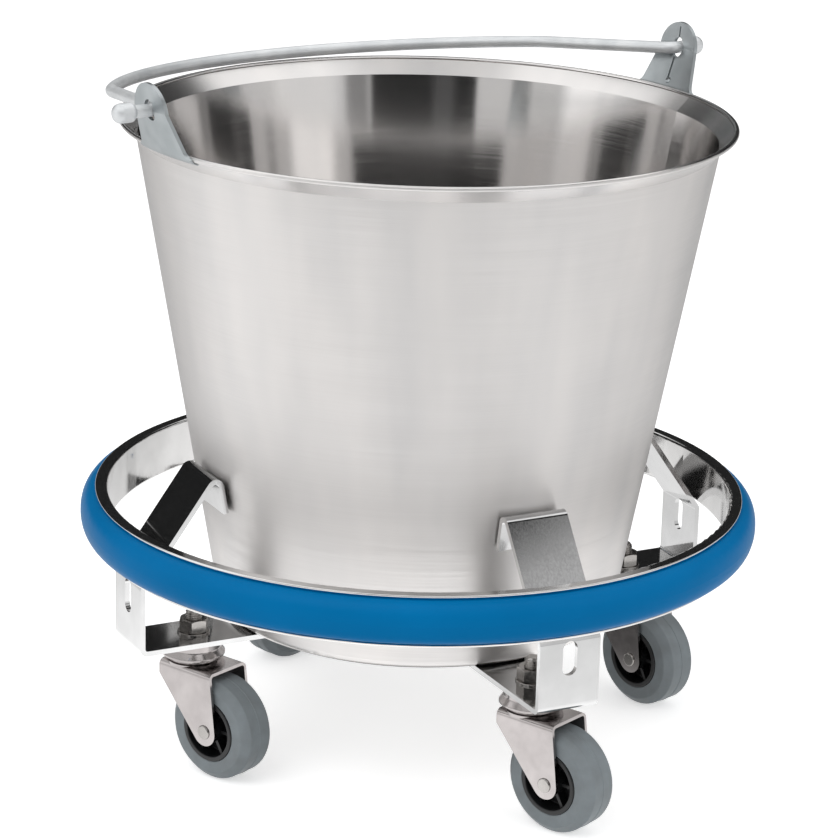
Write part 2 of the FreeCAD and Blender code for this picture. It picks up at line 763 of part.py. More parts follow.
def nut():
    """Hexagon nut with chamfered corners."""
    low = foot_top_z + washer_sheet
    corner = nut_across_flats / math.sqrt(3)
    ring = []
    for i in range(7):
        angle = math.radians(60 * i)
        ring.append(Vec(corner * math.cos(angle), corner * math.sin(angle), low))
    block = Part.Face(Part.makePolygon(ring)).extrude(Vec(0, 0, nut_height))
    flat = nut_across_flats / 2
    drop = (corner - flat) * math.tan(math.radians(nut_chamfer_angle))
    # the barrel is a hair wider than the corners, so that it cuts only the chamfers
    wide = corner / nearly
    barrel = revolved([
        (0, low, 0),
        (flat, low, 0),
        (wide, low + drop, 0),
        (wide, low + nut_height - drop, 0),
        (flat, low + nut_height, 0),
        (0, low + nut_height, 0),
    ])
    shape = block.common(barrel)
    return shape.cut(upright(stud_radius + thread_gap, low - nut_height, low + 2 * nut_height))


def on_axle(shape):
    """Lay a piece drawn about Z onto the wheel's axle."""
    copy = shape.copy()
    copy.rotate(Vec(0, 0, 0), Vec(1, 0, 0), 90)
    copy.translate(Vec(trail, 0, axle_z))
    return copy


def hub():
    """Moulded hub: rim with a tongue for the tyre, thin web, ribs and a bored boss."""
    bore = sleeve_radius + running_gap
    boss_half = fork_inner - rest_gap
    inner = hub_rim_radius - hub_rim_lip
    shape = revolved([
        (bore, -boss_half, 0),
        (hub_boss_radius, -boss_half, hub_boss_round),
        (hub_boss_radius, -hub_web_half, hub_web_round),
        (inner, -hub_web_half, hub_web_round),
        (inner, -hub_half_width, hub_edge_round),
        (hub_rim_radius, -hub_half_width, hub_edge_round),
        (hub_rim_radius, -hub_tongue_half, 0),
        (hub_tongue_radius, -hub_tongue_half, 0),
        (hub_tongue_radius, hub_tongue_half, 0),
        (hub_rim_radius, hub_tongue_half, 0),
        (hub_rim_radius, hub_half_width, hub_edge_round),
        (inner, hub_half_width, hub_edge_round),
        (inner, hub_web_half, hub_web_round),
        (hub_boss_radius, hub_web_half, hub_web_round),
        (hub_boss_radius, boss_half, hub_boss_round),
        (bore, boss_half, 0),
    ])
    rib_half = hub_half_width - hub_rib_inset
    rib_start = hub_boss_radius - hub_rib_bite
    for i in range(hub_rib_count):
        rib = Part.makeBox(inner + hub_rib_bite - rib_start, hub_rib_sheet, 2 * rib_half)
        rib.translate(Vec(rib_start, -hub_rib_sheet / 2, -rib_half))
        shape = shape.fuse(turned(rib, 360.0 * i / hub_rib_count))
    return on_axle(shape.removeSplitter())


def tyre():
    """Solid rubber tyre with bevelled shoulders and a fine mould line round its tread."""
    inner = hub_rim_radius + lay_gap
    groove = hub_tongue_radius + lay_gap
    groove_half = hub_tongue_half + lay_gap
    tread = wheel_radius - tyre_mould_line
    half = tyre_half_width
    line_half = 1.5 * tyre_mould_line
    return on_axle(revolved([
        (inner, -half, tyre_bead_round),
        (tread - tyre_shoulder, -half, tyre_shoulder_round),
        (tread, tyre_shoulder - half, tyre_shoulder_round),
        (tread, -line_half - tyre_mould_line, 0),
        (wheel_radius, -line_half, 0),
        (wheel_radius, line_half, 0),
        (tread, line_half + tyre_mould_line, 0),
        (tread, half - tyre_shoulder, tyre_shoulder_round),
        (tread - tyre_shoulder, half, tyre_shoulder_round),
        (inner, half, tyre_bead_round),
        (inner, groove_half, 0),
        (groove, groove_half, 0),
        (groove, -groove_half, 0),
        (inner, -groove_half, 0),
    ]))


def sleeve():
    """Tube that spaces the fork's legs and carries the hub."""
    half = fork_inner - lay_gap / 2
    tube = upright(sleeve_radius, -half, half).cut(upright(axle_radius + running_gap, -half, half))
    return on_axle(tube)


def axle():
    """Rivet through the fork and the sleeve, with a low domed head at each end."""
    out = fork_half_width + lay_gap / 2
    top = out + axle_head_height
    return on_axle(revolved([
        (0, -top, 0),
        (axle_head_radius, -top, axle_head_height * axle_head_share),
        (axle_head_radius, -out, 0),
        (axle_radius, -out, 0),
        (axle_radius, out, 0),
        (axle_head_radius, out, 0),
        (axle_head_radius, top, axle_head_height * axle_head_share),
        (0, top, 0),
    ]))


# ---------------------------------------------------------------- build
def placed(shape, azimuth, heading):
    """Turn a caster piece to its heading and stand it on its bracket."""
    copy = turned(shape, heading)
    out = math.radians(azimuth)
    copy.translate(Vec(stem_circle_radius * math.cos(out), stem_circle_radius * math.sin(out), 0))
    return copy


save("pail", pail())
ear_plate = ear()
save("ear_right", turned(ear_plate, ear_azimuth))
save("ear_left", turned(ear_plate, ear_azimuth + 180))
save("bail_handle", bail())
save("hoop_channel", hoop())
save("bumper_strip", bumper())

bracket_shape = bracket()
fixed_pieces = {"caster_stud": stud(), "swivel_race": race(), "swivel_balls": balls()}
turning_pieces = {"caster_fork": fork(), "axle_sleeve": sleeve(), "axle_rivet": axle(),
                  "wheel_hub": hub(), "wheel_tyre": tyre()}
washer_shape = washer()
nut_shape = nut()
washers = []
nuts = []
for name, (azimuth, heading) in caster_places.items():
    save("bracket_" + name, turned(bracket_shape, azimuth))
    for node, shape in fixed_pieces.items():
        save(node + "_" + name, placed(shape, azimuth, azimuth))
    for node, shape in turning_pieces.items():
        save(node + "_" + name, placed(shape, azimuth, heading))
    washers.append(placed(washer_shape, azimuth, azimuth))
    nuts.append(placed(nut_shape, azimuth, azimuth))
save("stud_washers", Part.makeCompound(washers))
save("stud_nuts", Part.makeCompound(nuts))
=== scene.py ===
import math

import bpy
from bpy.props import FloatProperty, FloatVectorProperty, IntProperty, PointerProperty
from bpy.types import Operator, Panel, PropertyGroup
from mathutils import Matrix, Vector


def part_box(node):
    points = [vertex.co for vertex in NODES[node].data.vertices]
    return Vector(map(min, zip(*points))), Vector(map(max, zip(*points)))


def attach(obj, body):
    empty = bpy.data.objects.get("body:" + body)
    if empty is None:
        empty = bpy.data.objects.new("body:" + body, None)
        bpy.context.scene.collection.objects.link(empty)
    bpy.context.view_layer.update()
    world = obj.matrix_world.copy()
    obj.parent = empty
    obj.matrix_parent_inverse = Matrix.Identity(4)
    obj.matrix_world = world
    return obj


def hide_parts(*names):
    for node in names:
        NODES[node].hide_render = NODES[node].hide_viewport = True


bl_info = {
    "name": "Kick Bucket",
    "version": (1, 0, 0),
    "blender": (4, 5, 0),
    "location": "View3D > Sidebar > Kick Bucket",
    "description": "Finishes a steel kick bucket on its bumper carriage and lights it in a studio",
    "category": "Object",
}

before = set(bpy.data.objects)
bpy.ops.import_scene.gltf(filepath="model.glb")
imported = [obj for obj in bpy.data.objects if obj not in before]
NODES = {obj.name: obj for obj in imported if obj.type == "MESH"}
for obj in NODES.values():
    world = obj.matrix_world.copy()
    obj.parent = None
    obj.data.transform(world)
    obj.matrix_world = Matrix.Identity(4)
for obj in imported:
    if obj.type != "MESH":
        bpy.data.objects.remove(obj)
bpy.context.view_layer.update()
# One millimetre in the scene's metres
MM = 0.001
CORNERS = sorted(name[len("bracket_"):] for name in NODES if name.startswith("bracket_"))

# The camera looks down a little at the pail's middle, and is tilted by a hair
CAMERA_PLACE = Vector((-0.707017, -1.358167, 0.645273))
CAMERA_AIM = Vector((0.0, 0.00064, 0.16261))
CAMERA_ROLL = math.radians(1.594)
CAMERA_LENS = 138.76
CAMERA_SENSOR = 36.0

# Level of the room, to the light that falls on things and to polished metal that mirrors it
DIFFUSE_ROOM = 0.62
GLOSSY_ROOM = 0.66

# Light that the floor adds to its paint where it is looked at, so that it comes up to white
FLOOR_LIFT = 0.52
# Level of the floor where metal mirrors it
GLOSSY_FLOOR = 1.0
# Painted shade under the pail: its share of the mirrored floor's level, up to and from these radii
FLOOR_PAINTED_SHADE = 0.12
FLOOR_PAINTED_SHADE_NEAR = 0.05
FLOOR_PAINTED_SHADE_FAR = 0.14
# Painted light round the pail: how much is added, up to and down to nothing at these radii
FLOOR_LIGHT_BAND = 0.5
FLOOR_LIGHT_BAND_NEAR = 0.16
FLOOR_LIGHT_BAND_FAR = 0.4
# Painted light and shade towards each of three sides, lighter to the left and the front and darker
# behind: the side, the cosines of the angle off it from which and to which the change comes in,
# and the change
FLOOR_SIDE_LIGHT = (
    ((-0.92, 0.39, 0), 0.85, 1.0, 0.15),
    ((-0.462, -0.887, 0), 0.2, 1.0, 0.16),
    ((0.462, 0.887, 0), 0.2, 0.95, -0.34),
)

# Cards round the studio: the level, of which 0 is black; the first and last azimuth, the
# lowest and highest elevation and the width over which the edges fade, in degrees; the distance
CARDS = {
    "card_behind": (0.0, 140, 264, 2, 42, 4, 2.6),
    "card_behind_left": (0.0, 230, 274, 16, 47, 3, 2.5),
    "card_by_camera": (0.0, 2, 48, -4, 30, 1, 2.6),
    "card_by_camera_edge": (0.3, 350, 363, -4, 30, 3, 2.7),
    "card_by_camera_sheen": (0.1, 27, 40, -4, 30, 4, 2.5),
    "card_left": (1.5, 84, 128, 2, 42, 6, 2.6),
    "card_left_front": (0.35, 62, 72, 0, 30, 2, 2.6),
    "card_right": (0.92, 316, 352, 0, 42, 6, 2.8),
    "card_right_back": (0.45, 280, 304, 0, 30, 5, 2.6),
    "card_front_high": (0.0, 298, 345, 42.5, 57, 1.5, 2.5),
    "card_overhead": (1.35, 0, 360, 43, 76, 2, 3.0),
}
# Degrees of a card that one flat facet spans, at most
CARD_FACET = 6

# Lamps: azimuth and elevation in degrees, side in metres, power in watts
LAMPS = {
    "lamp_key": (70.0, 50.0, 1.4, 13.0),
    "lamp_fill": (-40.0, 35.0, 1.4, 6.0),
    "lamp_top": (0.0, 88.0, 1.6, 8.0),
}
LAMP_DISTANCE = 2.2

# Values that a noise texture keeps between, but for rare extremes
NOISE_SPAN = {"From Min": 0.3, "From Max": 0.7}
# Stretch of a grain that is alike on every axis
EVEN = (1, 1, 1)
# The sheet is taken as the pail's inside where the outward share of its normal, times the
# distance from the axis in metres, is below this
INSIDE_LIMIT = 0.0005
# How deep the grinding lines are cut inside, as a share of outside
INSIDE_RELIEF = 0.3
# Slopes between which the sheet passes from the wall to the lip
WALL_SLOPE = 0.3
LIP_SLOPE = 0.6
# A V thread's flanks are steeper than a plain zigzag, and flat at crest and root
FLANK_STEEPNESS = 1.3
CREST_FLAT = 0.15
# Faces that meet at more than this make a sharp edge, and at less a bend
SHARP_EDGE = math.radians(40)


# ------------------------------------------------------------------ colours and nodes
def linear(hex_colour):
    """Linear red, green, blue and alpha of an sRGB hex colour."""
    channels = []
    for start in (1, 3, 5):
        value = int(hex_colour[start:start + 2], 16) / 255
        channels.append(value / 12.92 if value <= 0.04045 else ((value + 0.055) / 1.055) ** 2.4)
    return (*channels, 1.0)


def add_node(tree, kind, settings=None, links=None):
    """Add a node, set its sockets or properties, and link sockets into it."""
    made = tree.nodes.new(kind)
    for key, value in (settings or {}).items():
        if isinstance(key, int) or key in made.inputs:
            made.inputs[key].default_value = value
        else:
            setattr(made, key, value)
    for key, socket in (links or {}).items():
        tree.links.new(socket, made.inputs[key])
    return made


def begin_material(name):
    """New material and its node tree, emptied."""
    material = bpy.data.materials.new(name)
    material.use_nodes = True
    tree = material.node_tree
    tree.nodes.clear()
    return material, tree


def end_material(tree, shader):
    """Send the finished shader to the material's output."""
    add_node(tree, "ShaderNodeOutputMaterial", links={"Surface": shader.outputs[0]})


def per_metre(size_mm):
    """Texture scale at which one feature is about size_mm across."""
    return 1000.0 / size_mm


def stretched_noise(tree, size_mm, stretch, detail):
    """Noise whose grains are size_mm across on each axis, times the stretch on that axis.

    The detail is how many finer layers are laid over it.
    """
    place = add_node(tree, "ShaderNodeTexCoord")
    squeeze = add_node(tree, "ShaderNodeVectorMath",
                       {"operation": "MULTIPLY", 1: tuple(1.0 / s for s in stretch)},
                       {0: place.outputs["Object"]})
    return add_node(tree, "ShaderNodeTexNoise", {"Scale": per_metre(size_mm), "Detail": detail},
                    {"Vector": squeeze.outputs[0]})


def clouded_tone(tree, clouds, shade, colour):
    """Colour that drifts from a shade to the full colour with the clouds of a noise."""
    share = add_node(tree, "ShaderNodeMapRange", NOISE_SPAN, {"Value": clouds.outputs[0]})
    tone = add_node(tree, "ShaderNodeMix", {"data_type": "RGBA", 6: shade, 7: colour},
                    {0: share.outputs[0]})
    return tone.outputs[2]


# ------------------------------------------------------------------ materials
def satin_stainless_sheet(colours):
    """Drawn 304 stainless sheet.

    The outside is satin ground round the axis, which draws reflections out into soft upright
    bands; the inside stays bright from the press, so the studio shows in it as sharp streaks.
    """
    material, tree = begin_material("satin_ground_stainless_sheet")
    # grinding lines are 0.1 mm apart and drawn at 0.5 mm, so that they show
    lines = stretched_noise(tree, 0.5, (120, 120, 1), 3.0)
    # faint upright bands drift through the tone at random
    clouds = stretched_noise(tree, 26.0, (1, 1, 6), 2.0)
    place = add_node(tree, "ShaderNodeTexCoord")
    surface = add_node(tree, "ShaderNodeNewGeometry")
    level = add_node(tree, "ShaderNodeVectorMath", {"operation": "MULTIPLY", 1: (1, 1, 0)},
                     {0: place.outputs["Object"]})
    facing = add_node(tree, "ShaderNodeVectorMath", {"operation": "DOT_PRODUCT"},
                      {0: level.outputs[0], 1: surface.outputs["Normal"]})
    inside = add_node(tree, "ShaderNodeMath", {"operation": "LESS_THAN", 1: INSIDE_LIMIT},
                      {0: facing.outputs["Value"]}).outputs[0]
    rough_out = add_node(tree, "ShaderNodeMapRange",
                         {**NOISE_SPAN, "To Min": 0.44, "To Max": 0.54},
                         {"Value": lines.outputs[0]})
    rough_in = add_node(tree, "ShaderNodeMapRange",
                        {**NOISE_SPAN, "To Min": 0.09, "To Max": 0.14},
                        {"Value": lines.outputs[0]})
    wall = add_node(tree, "ShaderNodeMix", {"data_type": "FLOAT"},
                    {0: inside, 2: rough_out.outputs[0], 3: rough_in.outputs[0]})
    # the lip is burnished by the roller that turns its bead
    upright = add_node(tree, "ShaderNodeVectorMath", {"operation": "DOT_PRODUCT", 1: (0, 0, 1)},
                       {0: surface.outputs["Normal"]})
    slope = add_node(tree, "ShaderNodeMath", {"operation": "ABSOLUTE"},
                     {0: upright.outputs["Value"]})
    rolled = add_node(tree, "ShaderNodeMapRange", {"From Min": WALL_SLOPE, "From Max": LIP_SLOPE},
                      {"Value": slope.outputs[0]})
    rough = add_node(tree, "ShaderNodeMix", {"data_type": "FLOAT", 3: 0.26},
                     {0: rolled.outputs[0], 2: wall.outputs[0]}).outputs[0]
    depth = add_node(tree, "ShaderNodeMath",
                     {"operation": "MULTIPLY_ADD", 1: INSIDE_RELIEF - 1.0, 2: 1.0}, {0: inside})
    bump = add_node(tree, "ShaderNodeBump", {"Distance": 0.01 * MM},
                    {"Height": lines.outputs[0], "Strength": depth.outputs[0]})
    around = add_node(tree, "ShaderNodeTangent", {"direction_type": "RADIAL", "axis": "Z"})
    shader = add_node(tree, "ShaderNodeBsdfPrincipled",
                      {"Metallic": 1.0, "Anisotropic": 0.6, "Anisotropic Rotation": 0.25},
                      {"Base Color": clouded_tone(tree, clouds, colours.steel_shade,
                                                  colours.steel),
                       "Roughness": rough, "Normal": bump.outputs[0],
                       "Tangent": around.outputs[0]})
    end_material(tree, shader)
    return material


def plain_metal(name, colour, shade, rough, grain_mm, stretch, relief_mm, metallic=1.0):
    """Metal with a fine grain in its gloss and relief, and faint clouds in its tone."""
    material, tree = begin_material(name)
    grain = stretched_noise(tree, grain_mm, stretch, 3.0)
    clouds = stretched_noise(tree, 14.0, EVEN, 2.0)
    rough_low, rough_high = rough
    gloss = add_node(tree, "ShaderNodeMapRange",
                     {**NOISE_SPAN, "To Min": rough_low, "To Max": rough_high},
                     {"Value": grain.outputs[0]})
    bump = add_node(tree, "ShaderNodeBump", {"Distance": relief_mm * MM, "Strength": 1.0},
                    {"Height": grain.outputs[0]})
    shader = add_node(tree, "ShaderNodeBsdfPrincipled", {"Metallic": metallic},
                      {"Base Color": clouded_tone(tree, clouds, shade, colour),
                       "Roughness": gloss.outputs[0], "Normal": bump.outputs[0]})
    end_material(tree, shader)
    return material


def tumbled_stainless(colours):
    """Pressed stainless ears, tumbled to a cool soft sheen with small dents left in it."""
    return plain_metal("tumbled_pressed_stainless", colours.cool_steel, colours.cool_shade,
                       rough=(0.28, 0.40), grain_mm=5.0, stretch=EVEN, relief_mm=0.008)


def drawn_stainless_wire(colours):
    """Cold drawn stainless wire: a pale dull skin that stays light all round the wire."""
    return plain_metal("drawn_stainless_wire", colours.wire, colours.wire_shade,
                       rough=(0.40, 0.52), grain_mm=0.8, stretch=(6, 6, 1), relief_mm=0.006,
                       metallic=0.55)


def polished_strip(name, colour, shade):
    """Plated strip steel, polished: it mirrors the studio, softened by hairline scratches."""
    return plain_metal(name, colour, shade,
                       rough=(0.05, 0.13), grain_mm=0.9, stretch=(1, 1, 5), relief_mm=0.0006)


def nickel_plate(colours):
    """Nickel plated pressings: warm, bright, a little wavy from the press."""
    return plain_metal("nickel_plated_pressing", colours.nickel, colours.nickel_shade,
                       rough=(0.12, 0.24), grain_mm=4.0, stretch=EVEN, relief_mm=0.010)


def zinc_plate(colours):
    """Zinc plated fasteners: greyer and duller than the pressings round them."""
    return plain_metal("zinc_plated_fastener", colours.zinc, colours.zinc_shade,
                       rough=(0.14, 0.26), grain_mm=1.5, stretch=EVEN, relief_mm=0.002)


def bearing_steel(colours):
    """Ground and lapped bearing balls: mirror bright."""
    return plain_metal("lapped_ball_steel", colours.bright_steel, colours.zinc,
                       rough=(0.05, 0.08), grain_mm=0.5, stretch=EVEN, relief_mm=0.001)


def soft_polymer(name, colour, shade, rough, shine, grain_mm, relief_mm, cloud_mm):
    """Rubber or plastic with a fine moulded grain and a faint unevenness of tone and gloss."""
    material, tree = begin_material(name)
    grain = stretched_noise(tree, grain_mm, EVEN, 2.0)
    clouds = stretched_noise(tree, cloud_mm, EVEN, 3.0)
    rough_low, rough_high = rough
    gloss = add_node(tree, "ShaderNodeMapRange",
                     {**NOISE_SPAN, "To Min": rough_low, "To Max": rough_high},
                     {"Value": clouds.outputs[0]})
    bump = add_node(tree, "ShaderNodeBump", {"Distance": relief_mm * MM, "Strength": 1.0},
                    {"Height": grain.outputs[0]})
    shader = add_node(tree, "ShaderNodeBsdfPrincipled", {"IOR": 1.5, "Specular IOR Level": shine},
                      {"Base Color": clouded_tone(tree, clouds, shade, colour),
                       "Roughness": gloss.outputs[0], "Normal": bump.outputs[0]})
    end_material(tree, shader)
    return material


def blue_bumper_rubber(colours):
    """Extruded PVC rubber: smooth, satin, with a broad soft shine along its crown."""
    return soft_polymer("extruded_blue_pvc_rubber", colours.bumper, colours.bumper_shade,
                        rough=(0.31, 0.41), shine=0.04, grain_mm=0.5, relief_mm=0.004,
                        cloud_mm=60.0)


def grey_tyre_rubber(colours):
    """Moulded non-marking rubber: matt, cool grey, a little dusty."""
    return soft_polymer("moulded_grey_tyre_rubber", colours.tyre, colours.tyre_shade,
                        rough=(0.53, 0.63), shine=0.35, grain_mm=0.35, relief_mm=0.02,
                        cloud_mm=9.0)


def black_hub_nylon(colours):
    """Injection moulded black nylon: dark, with a soft satin shine."""
    return soft_polymer("moulded_black_nylon", colours.hub, colours.hub_shade,
                        rough=(0.37, 0.47), shine=0.4, grain_mm=0.3, relief_mm=0.01,
                        cloud_mm=6.0)


def mirrored_floor_painted_light(tree):
    """Level of the mirrored floor, with painted light and shade: it differs by side and with the
    radius.
    """
    place = add_node(tree, "ShaderNodeTexCoord")
    away = add_node(tree, "ShaderNodeVectorMath", {"operation": "NORMALIZE"},
                    {0: place.outputs["Object"]})
    reach = add_node(tree, "ShaderNodeVectorMath", {"operation": "LENGTH"},
                     {0: place.outputs["Object"]})
    # painted light: a brighter band of the mirrored floor round the pail
    level = add_node(tree, "ShaderNodeMapRange",
                     {"From Min": FLOOR_LIGHT_BAND_NEAR, "From Max": FLOOR_LIGHT_BAND_FAR,
                      "To Min": GLOSSY_FLOOR + FLOOR_LIGHT_BAND, "To Max": GLOSSY_FLOOR},
                     {"Value": reach.outputs["Value"]})
    # painted light and shade: the mirrored floor is lighter or darker towards each side
    for side, from_cosine, to_cosine, change in FLOOR_SIDE_LIGHT:
        part = add_node(tree, "ShaderNodeVectorMath", {"operation": "DOT_PRODUCT", 1: side},
                        {0: away.outputs[0]})
        share = add_node(tree, "ShaderNodeMapRange",
                         {"From Min": from_cosine, "From Max": to_cosine,
                          "To Min": 0.0, "To Max": change},
                         {"Value": part.outputs["Value"]})
        level = add_node(tree, "ShaderNodeMath", {"operation": "ADD"},
                         {0: level.outputs[0], 1: share.outputs[0]})
    # painted shade: the mirrored floor is dimmed under the pail, where its shadow would be
    shade = add_node(tree, "ShaderNodeMapRange",
                     {"From Min": FLOOR_PAINTED_SHADE_NEAR, "From Max": FLOOR_PAINTED_SHADE_FAR,
                      "To Min": FLOOR_PAINTED_SHADE, "To Max": 1.0},
                     {"Value": reach.outputs["Value"]})
    return add_node(tree, "ShaderNodeMath", {"operation": "MULTIPLY"},
                    {0: level.outputs[0], 1: shade.outputs[0]}).outputs[0]


def pale_studio_floor(colours):
    """Painted studio floor, white to the eye, that keeps soft shadows; in reflections it glows
    with painted light and shade.
    """
    material, tree = begin_material("white_painted_studio_floor")
    rays = add_node(tree, "ShaderNodeLightPath")
    clouds = stretched_noise(tree, 400.0, EVEN, 2.0)
    paint = add_node(tree, "ShaderNodeBsdfDiffuse", links={
        "Color": clouded_tone(tree, clouds, colours.floor_shade, colours.floor)})
    seen = add_node(tree, "ShaderNodeMath", {"operation": "MULTIPLY", 1: FLOOR_LIFT},
                    {0: rays.outputs["Is Camera Ray"]})
    lift = add_node(tree, "ShaderNodeEmission", links={"Strength": seen.outputs[0]})
    lit = add_node(tree, "ShaderNodeAddShader", links={0: paint.outputs[0], 1: lift.outputs[0]})
    mirrored = add_node(tree, "ShaderNodeMath", {"operation": "MAXIMUM"},
                        {0: rays.outputs["Is Glossy Ray"], 1: rays.outputs["Is Transmission Ray"]})
    # what metal mirrors of the floor is a glow with painted light and shade
    glow = add_node(tree, "ShaderNodeEmission", links={"Strength": mirrored_floor_painted_light(tree)})
    shader = add_node(tree, "ShaderNodeMixShader",
                      links={0: mirrored.outputs[0], 1: lit.outputs[0], 2: glow.outputs[0]})
    end_material(tree, shader)
    return material


def end_card(tree, shader):
    """End a card's material so that it thins to nothing at the edges, by its mesh's cover."""
    cover = add_node(tree, "ShaderNodeAttribute", {"attribute_name": "cover"})
    clear = add_node(tree, "ShaderNodeBsdfTransparent")
    end_material(tree, add_node(tree, "ShaderNodeMixShader",
                                links={0: cover.outputs["Fac"], 1: clear.outputs[0],
                                       2: shader.outputs[0]}))


def black_card(colours):
    """Matt black card that a studio hangs up to put dark bands into polished metal."""
    material, tree = begin_material("matt_black_card")
    fibres = stretched_noise(tree, 2.0, EVEN, 2.0)
    tone = add_node(tree, "ShaderNodeMix", {"data_type": "RGBA", 6: colours.card, 7: colours.hub},
                    {0: fibres.outputs[0]})
    end_card(tree, add_node(tree, "ShaderNodeBsdfDiffuse", links={"Color": tone.outputs[2]}))
    return material


def bright_card(colours, level):
    """White silk card, lit from behind, that puts a bright band into polished metal."""
    material, tree = begin_material("white_silk_card")
    folds = stretched_noise(tree, 300.0, EVEN, 2.0)
    tone = add_node(tree, "ShaderNodeMix",
                    {"data_type": "RGBA", 6: colours.floor_shade, 7: colours.floor},
                    {0: folds.outputs[0]})
    end_card(tree, add_node(tree, "ShaderNodeEmission", {"Strength": level},
                            {"Color": tone.outputs[2]}))
    return material


# ------------------------------------------------------------------ settings
def colour_setting(name, description, hex_colour):
    """Colour that a user can change, from its sRGB hex value."""
    return FloatVectorProperty(name=name, description=description, subtype="COLOR", size=4,
                               min=0.0, max=1.0, default=linear(hex_colour))


class KickBucketColours(PropertyGroup):
    """Colours of the finishes."""
    steel: colour_setting("Steel", "Satin stainless sheet", "#E5E2E0")
    steel_shade: colour_setting("Steel shade", "Darker bands in the stainless sheet", "#DBD9D8")
    cool_steel: colour_setting("Cool steel", "Tumbled stainless of the ears", "#B9BEC0")
    cool_shade: colour_setting("Cool steel shade", "Darker clouds in the ears", "#A8AEB0")
    wire: colour_setting("Wire", "Drawn stainless wire of the bail", "#E6E8E9")
    wire_shade: colour_setting("Wire shade", "Darker clouds in the wire", "#D2D5D7")
    bright_steel: colour_setting("Bright steel", "Plated strip of the brackets", "#CECECE")
    bright_shade: colour_setting("Bright steel shade", "Darker clouds in the brackets", "#C5C5C5")
    hoop_steel: colour_setting("Hoop steel", "Polished channel", "#E1E0DF")
    hoop_shade: colour_setting("Hoop shade", "Darker clouds in the channel", "#D7D6D5")
    nickel: colour_setting("Nickel", "Plated caster pressings", "#B1ACAB")
    nickel_shade: colour_setting("Nickel shade", "Darker clouds in the pressings", "#A49F9E")
    zinc: colour_setting("Zinc", "Plated fasteners", "#B2AFAC")
    zinc_shade: colour_setting("Zinc shade", "Darker clouds in the fasteners", "#9B9895")
    bumper: colour_setting("Bumper", "Blue bumper strip", "#0070AC")
    bumper_shade: colour_setting("Bumper shade", "Darker clouds in the bumper", "#006AA3")
    tyre: colour_setting("Tyre", "Grey tyres", "#848C90")
    tyre_shade: colour_setting("Tyre shade", "Darker clouds in the tyres", "#797F82")
    hub: colour_setting("Hub", "Black hubs", "#1B1C1D")
    hub_shade: colour_setting("Hub shade", "Darker clouds in the hubs", "#121314")
    floor: colour_setting("Floor", "Studio floor and silk cards", "#F4F4F4")
    floor_shade: colour_setting("Floor shade", "Darker clouds in the floor and silk", "#F1F1F1")
    card: colour_setting("Card", "Black cards round the studio", "#3A3A3A")


class KickBucketSizes(PropertyGroup):
    """Sizes of the studs, the broken edges and the floor."""
    thread_pitch: FloatProperty(
        name="Thread pitch", description="Distance between the crests of the stud's thread",
        default=1.25 * MM, unit="LENGTH")
    thread_depth: FloatProperty(
        name="Thread depth", description="Crest to root of the stud's thread",
        default=0.75 * MM, unit="LENGTH")
    thread_steps: IntProperty(
        name="Thread steps", description="Rings of facets in one pitch of the thread", default=8)
    stud_radius: FloatProperty(
        name="Stud radius", description="Outside radius of the stud's thread",
        default=4.0 * MM, unit="LENGTH")
    head_height: FloatProperty(
        name="Stud head height", description="Height of the stud's head",
        default=2.2 * MM, unit="LENGTH")
    head_round: FloatProperty(
        name="Stud head chamfer", description="Chamfer under the stud's head",
        default=0.8 * MM, unit="LENGTH")
    point_height: FloatProperty(
        name="Point height", description="Height of the chamfered point of the stud",
        default=1.4 * MM, unit="LENGTH")
    point_inset: FloatProperty(
        name="Point inset", description="How far the point draws in",
        default=1.2 * MM, unit="LENGTH")
    edge_bevel: FloatProperty(
        name="Edge bevel", description="Width of the broken edges of sheared strip",
        default=0.25 * MM, unit="LENGTH")
    floor_width: FloatProperty(
        name="Floor width", description="Side of the studio floor",
        default=14.0, unit="LENGTH")
    round_segments: IntProperty(
        name="Round segments", description="Facets round a stud", default=48)


# ------------------------------------------------------------------ threads
def turned_mesh(name, rings, segments):
    """Closed mesh about Z from rings, each a height and a radius for every segment."""
    places = []
    for z, radii in rings:
        for i in range(segments):
            angle = 2 * math.pi * i / segments
            places.append((radii[i] * math.cos(angle), radii[i] * math.sin(angle), z))
    faces = []
    for row in range(len(rings) - 1):
        for i in range(segments):
            here = row * segments + i
            after = row * segments + (i + 1) % segments
            faces.append((here, after, after + segments, here + segments))
    faces.append(tuple(range(segments - 1, -1, -1)))
    faces.append(tuple(range((len(rings) - 1) * segments, len(rings) * segments)))
    mesh = bpy.data.meshes.new(name)
    mesh.from_pydata(places, [], faces)
    for face in mesh.polygons:
        face.use_smooth = len(face.vertices) == 4
    return mesh


def thread_radius(z, turn, crest, sizes):
    """Radius of a right-hand V thread at a height, for a share of a turn round the axis."""
    phase = (z / sizes.thread_pitch - turn) % 1.0
    valley = 1.0 - abs(2.0 * phase - 1.0)
    cut = min(1.0, max(0.0, valley * FLANK_STEEPNESS - CREST_FLAT))
    return crest - sizes.thread_depth * cut


